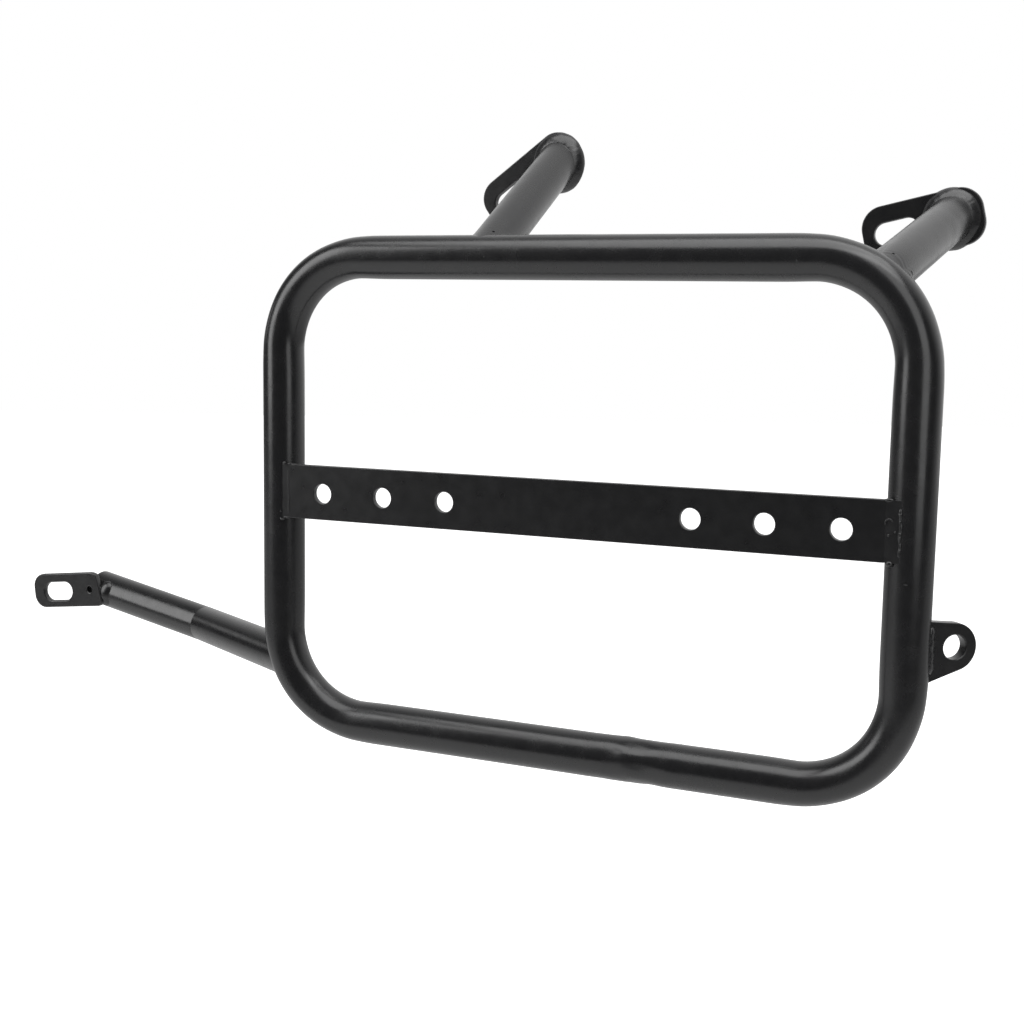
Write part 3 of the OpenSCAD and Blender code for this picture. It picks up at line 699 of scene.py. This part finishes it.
# welds at the ends of the bar: a flush slab, a wavy toe, drops of spatter and a curl
barWelds = [
    {"name": "leftBarWeld", "node": "bar_weld_left", "side": -1, "from": 133.6, "length": 5.6, "lean": 0.0,
     "toe": {"x": 135.4, "y": 0.02, "sway": 0.12, "reach": 10.0, "rough": 0.6},
     "bead": {"width": 0.4, "height": 0.13, "step": 0.2, "pitch": 1.6, "bow": 0.1, "ripple": 0.8, "round": 0.8,
              "wobble": 0.3},
     "drops": [((-137.4, -0.1, 13.1), (0.9, 0.8, 0.8)), ((-134.8, 0.25, 13.0), (1.4, 0.5, 0.45)),
               ((-131.2, 0.15, 12.8), (3.2, 0.4, 0.35)), ((-136.6, 0.35, -11.9), (2.0, 0.6, 0.6))],
     "curl": {"at": Vector((-138.7, -0.35, -10.9)), "radius": 1.9, "thick": 0.5, "begin": 100, "turn": 215,
              "facing": Vector((-0.3, -1, 0))}},
    {"name": "rightBarWeld", "node": "bar_weld_right", "side": 1, "from": 134.5, "length": 6.3, "lean": 7.2,
     "toe": {"x": 140.3, "y": -0.62, "sway": 0.55, "reach": 9.6, "rough": 1.0},
     "bead": {"width": 0.7, "height": 0.6, "step": 0.2, "pitch": 2.3, "bow": 0.2, "ripple": 0.5, "round": 1.2,
              "wobble": 0.6},
     "drops": [((135.6, 0.35, 12.5), (1.9, 0.8, 0.85)), ((136.6, 0.2, -12.2), (1.5, 1.0, 1.2)),
               ((135.9, -0.2, -1.1), (0.55, 0.55, 0.65)), ((138.4, -0.5, 0.35), (0.5, 0.55, 0.5))],
     "curl": {"at": Vector((135.9, -0.3, 3.9)), "radius": 1.4, "thick": 0.36, "begin": 20, "turn": 190,
              "facing": Vector((0, -1, 0))}},
]
flushSlab = {"short": 0.2, "corner": 0.5, "cornerSteps": 4, "thickness": 1.8, "rim": 0.03, "proud": 0.01}
toeLine = {"steps": 64, "grain": 0.3, "sideGrain": 5.0, "depth": 0.3}
curlSides, curlSteps, dropDetail = 10, 24, 3


def addDrop(bm, point, size):
    # a drop of spatter, flattened where it landed
    made = bmesh.ops.create_icosphere(bm, subdivisions=dropDetail, radius=1.0)["verts"]
    bmesh.ops.transform(bm, verts=made, matrix=Matrix.Translation(point) @ Matrix.Diagonal((*size, 1)))


def addCurl(bm, look):
    # a thread of weld metal that curled over as it froze
    place = placeAt(look["at"], look["facing"])
    turned = place @ Matrix.Rotation(math.radians(look["begin"]), 4, "Z")
    start = turned @ Matrix.Translation((look["radius"], 0, 0)) @ standing
    first = bmesh.ops.create_circle(bm, cap_ends=False, radius=look["thick"], segments=curlSides,
                                    matrix=start)["verts"]
    axis = place.to_3x3() @ Vector((0, 0, 1))
    last = spinRing(bm, first, place.translation, axis, math.radians(look["turn"]), curlSteps)
    closeRing(bm, first)
    closeRing(bm, last)


def swayLine(side, toe):
    # a line down the end of the bar that wanders a little
    points = []
    for index in range(toeLine["steps"] + 1):
        z = toe["reach"] * (1 - index / (toeLine["steps"] / 2))
        spot = Vector((z * toeLine["grain"] * toe["rough"], side * toeLine["sideGrain"], 0))
        sway = toe["sway"] * noise.noise(spot)
        points.append(Vector((side * (toe["x"] + sway), toe["y"] - toeLine["depth"] * side * sway, z)))
    return points


def buildBarWeld(look):
    # the weld was filled flush: its flat front carries the face of the bar on to the tube
    side = look["side"]
    outside = roundedArcs(look["length"], bar["height"] - flushSlab["short"], flushSlab["corner"],
                          flushSlab["cornerSteps"], (side * look["length"] / 2, 0))
    bm = flatPiece(flushSlab["thickness"], flushSlab["rim"], outside, [])
    turn = Matrix.Rotation(math.radians(-side * look["lean"]), 4, "Z")
    at = Matrix.Translation((side * look["from"], -flushSlab["proud"], bar["lift"]))
    bmesh.ops.transform(bm, verts=bm.verts,
                        matrix=at @ turn @ standing @ Matrix.Translation((0, 0, -flushSlab["thickness"])))
    facing = turn.to_3x3() @ Vector((0, -1, 0))
    layBead(bm, swayLine(side, look["toe"]), lambda point: facing, look["bead"])
    for point, size in look["drops"]:
        addDrop(bm, Vector(point), size)
    addCurl(bm, look["curl"])
    bmesh.ops.transform(bm, verts=bm.verts, matrix=Matrix.Rotation(math.radians(-bar["tilt"]), 4, "Y"))
    finishPiece(look["name"], bm, shadedFlatCoat, [look["node"]], flatWay=facing)


for weld in barWelds:
    buildBarWeld(weld)

# weld that holds the tab on the arm, with a thin ridge on it
tabWeld = {"at": -288.5, "high": 6.6, "low": 6.8, "sink": 0.3, "steps": 60, "slant": 0.16}
tabBead = {"width": 3.9, "height": 1.8, "step": 0.3, "pitch": 4.4, "bow": 1.5, "ripple": 0.02, "round": 5.0,
           "wobble": 0.03}
tabRidge = {"width": 0.5, "height": 0.35, "step": 0.3, "pitch": 3.0, "bow": 0.3, "ripple": 0.1, "round": 2.5,
            "wobble": 0.2, "first": 8, "end": 52, "middle": 26, "x": -1.2, "slope": 0.05, "curve": 0.0022,
            "y": -1.62}


def buildTabWeld():
    bm = bmesh.new()
    share = (arm["kink"].x - tabWeld["at"]) / (arm["kink"].x - arm["end"].x)
    onAxis = arm["kink"].lerp(arm["end"], share)

    def upAt(point):
        return (point - onAxis) * Vector((0, 1, 1))

    points = []
    for index in range(tabWeld["steps"] + 1):
        z = tabWeld["high"] - (tabWeld["high"] + tabWeld["low"]) * index / tabWeld["steps"]
        y = math.sqrt(arm["radius"] ** 2 - z * z) - tabWeld["sink"]
        points.append(onAxis + Vector((tabWeld["slant"] * z, -y, z)))
    layBead(bm, points, upAt, tabBead)
    ridge = []
    for index, point in enumerate(points[tabRidge["first"]:tabRidge["end"]]):
        down = index - tabRidge["middle"]
        x = tabRidge["x"] + tabRidge["slope"] * down - tabRidge["curve"] * down ** 2
        ridge.append(point + Vector((x, tabRidge["y"], 0)))
    layBead(bm, ridge, upAt, tabRidge)
    finishPiece("tabWeld", bm, shadedFlatCoat, ["arm_tab_weld"], finish["weldAngle"])


buildTabWeld()

# nibs of powder that baked on the hoop, each found by a walk back on to its front
nibs = [((-57.0, 110.0), (0.45, 0.2, 0.35)), ((-37.6, 105.4), (0.35, 0.25, 0.35)),
        ((143.4, -19.0), (0.8, 0.18, 0.25)), ((148.8, -29.4), (0.3, 0.2, 0.45)),
        ((-52.0, 101.0), (0.25, 0.15, 0.25)), ((96.0, 104.0), (0.3, 0.15, 0.3))]
nibSeat = {"from": 20.0, "last": -9, "step": 0.02, "sink": 0.03}


def buildNibs():
    bm = bmesh.new()
    for (x, z), size in nibs:
        ahead = nibSeat["from"]
        level = hoop["tubeRadius"] - nibSeat["sink"]
        while fromHoop(Vector((x, -ahead, z))) > level and ahead > nibSeat["last"]:
            ahead -= nibSeat["step"]
        addDrop(bm, Vector((x, -ahead, z)), size)
    finishPiece("powderNibs", bm, tubeCoat, [])


buildNibs()
print("pieces made")

# camera where the photograph was taken from, its angles in degrees
camera = {"place": (237.96, -583.89, 81.95), "turn": 24.09, "down": 7.501, "roll": 0.961, "lens": 52.99,
          "sensor": 36.0, "near": 0.01, "far": 50.0}


def setCamera():
    azimuth, elevation, roll = (math.radians(camera[key]) for key in ("turn", "down", "roll"))
    forward = Vector((-math.sin(azimuth) * math.cos(elevation), math.cos(azimuth) * math.cos(elevation),
                      -math.sin(elevation)))
    level = Vector((math.cos(azimuth), math.sin(azimuth), 0))
    upright = level.cross(forward)
    right = level * math.cos(roll) + upright * math.sin(roll)
    up = upright * math.cos(roll) - level * math.sin(roll)
    data = bpy.data.cameras.new("photographCamera")
    data.lens, data.sensor_width = camera["lens"], camera["sensor"]
    data.clip_start, data.clip_end = camera["near"], camera["far"]
    item = bpy.data.objects.new("photographCamera", data)
    turned = Matrix((right, up, -forward)).transposed().to_4x4()
    item.matrix_world = Matrix.Translation(Vector(camera["place"]) / 1000) @ turned
    scene.collection.objects.link(item)
    scene.camera = item
    return level, Vector((-forward.x, -forward.y, 0)).normalized()


toRight, toCamera = setCamera()

# studio, in metres: pale floor, soft boxes above and to the left, a narrow card at the right and a small
# one behind on the left; places are to the right, toward the camera and up
studio = {
    "floor": -0.45, "floorFront": 1.0, "floorHalf": 4.0, "paper": (0.72, 0.72, 0.72, 1), "fibre": 0.0025,
    "fill": 0.55, "behind": 1.0, "dark": 0.045, "backdrop": (0.5, -0.78, 0.37), "fadeFrom": 0.1, "fadeTo": 0.9,
    "boxes": [
        {"name": "boxAbove", "at": (0.0, 0.25, 1.2), "size": (1.7, 1.0), "level": 3.6},
        {"name": "boxLeft", "at": (-1.2, 0.24, 0.50), "size": (0.6, 1.2), "level": 4.8},
        {"name": "cardRight", "at": (0.21, 0.36, 0.25), "size": (0.25, 0.72), "level": 2.2},
        {"name": "cardBehind", "at": (-1.05, -0.58, 0.20), "size": (0.26, 0.20), "level": 0.95},
    ],
}


def inStudio(right, near, up):
    return toRight * right + toCamera * near + Vector((0, 0, up))


def whitePaper():
    # uncoated white paper: dull, with fibres that only just break its surface; the camera sees it white
    paper = bpy.data.materials.new("whitePaper")
    paper.use_nodes = True
    tree = paper.node_tree
    tree.nodes.clear()
    rays = addNode(tree, "ShaderNodeLightPath")
    place = addNode(tree, "ShaderNodeTexCoord").outputs["Object"]
    fibre = addNode(tree, "ShaderNodeTexNoise", {"Scale": 1 / studio["fibre"]}, {"Vector": place})
    bump = addNode(tree, "ShaderNodeBump", {"Strength": 0.05, "Distance": 0.0001},
                   {"Height": fibre.outputs["Fac"]})
    sheet = addNode(tree, "ShaderNodeBsdfDiffuse", {"Color": studio["paper"]},
                    {"Normal": bump.outputs["Normal"]})
    glow = addNode(tree, "ShaderNodeEmission", {"Color": (1, 1, 1, 1)},
                   {"Strength": rays.outputs["Is Camera Ray"]})
    both = addNode(tree, "ShaderNodeAddShader", None, {0: sheet.outputs["BSDF"], 1: glow.outputs["Emission"]})
    addNode(tree, "ShaderNodeOutputMaterial", None, {"Surface": both.outputs["Shader"]})
    return paper


def setStudio():
    for box in studio["boxes"]:
        data = bpy.data.lights.new(box["name"], "AREA")
        data.shape = "RECTANGLE"
        data.size, data.size_y = box["size"]
        data.energy = math.pi * box["size"][0] * box["size"][1] * box["level"]
        item = bpy.data.objects.new(box["name"], data)
        at = inStudio(*box["at"])
        upHint = toCamera if box["name"] == "boxAbove" else Vector((0, 0, 1))
        item.matrix_world = placeAt(at, at, upHint)
        item.visible_camera = False
        scene.collection.objects.link(item)
    bm = bmesh.new()
    laid = Matrix((toRight, -toCamera, (0, 0, 1))).transposed().to_4x4()
    middle = inStudio(0, studio["floorFront"] - studio["floorHalf"], studio["floor"])
    bmesh.ops.create_grid(bm, x_segments=1, y_segments=1, size=studio["floorHalf"],
                          matrix=Matrix.Translation(middle) @ laid)
    mesh = bpy.data.meshes.new("paperFloor")
    bm.to_mesh(mesh)
    bm.free()
    floor = bpy.data.objects.new("paperFloor", mesh)
    scene.collection.objects.link(floor)
    mesh.materials.append(whitePaper())


def setWorld():
    world = bpy.data.worlds.new("whiteStudio")
    scene.world = world
    world.use_nodes = True
    tree = world.node_tree
    tree.nodes.clear()
    rays = addNode(tree, "ShaderNodeLightPath")
    heading = addNode(tree, "ShaderNodeTexCoord").outputs["Generated"]
    # seen in the gloss: a pale backdrop behind and above, a dark room on the side of the camera
    facing = addNode(tree, "ShaderNodeVectorMath",
                     {"operation": "DOT_PRODUCT", 1: inStudio(*studio["backdrop"])}, {0: heading})
    level = addNode(tree, "ShaderNodeMapRange",
                    {"interpolation_type": "SMOOTHSTEP", "From Min": studio["fadeFrom"],
                     "From Max": studio["fadeTo"], "To Min": studio["dark"], "To Max": studio["behind"]},
                    {"Value": facing.outputs["Value"]})
    inGloss = addNode(tree, "ShaderNodeMix", {2: studio["fill"]},
                      {0: rays.outputs["Is Glossy Ray"], 3: level.outputs["Result"]})
    seen = addNode(tree, "ShaderNodeMix", {3: 1.0}, {0: rays.outputs["Is Camera Ray"], 2: inGloss.outputs[0]})
    sky = addNode(tree, "ShaderNodeBackground", {"Color": (1, 1, 1, 1)}, {"Strength": seen.outputs[0]})
    addNode(tree, "ShaderNodeOutputWorld", None, {"Surface": sky.outputs["Background"]})


setStudio()
setWorld()
scene.view_settings.view_transform = "Standard"
print("studio and camera set")
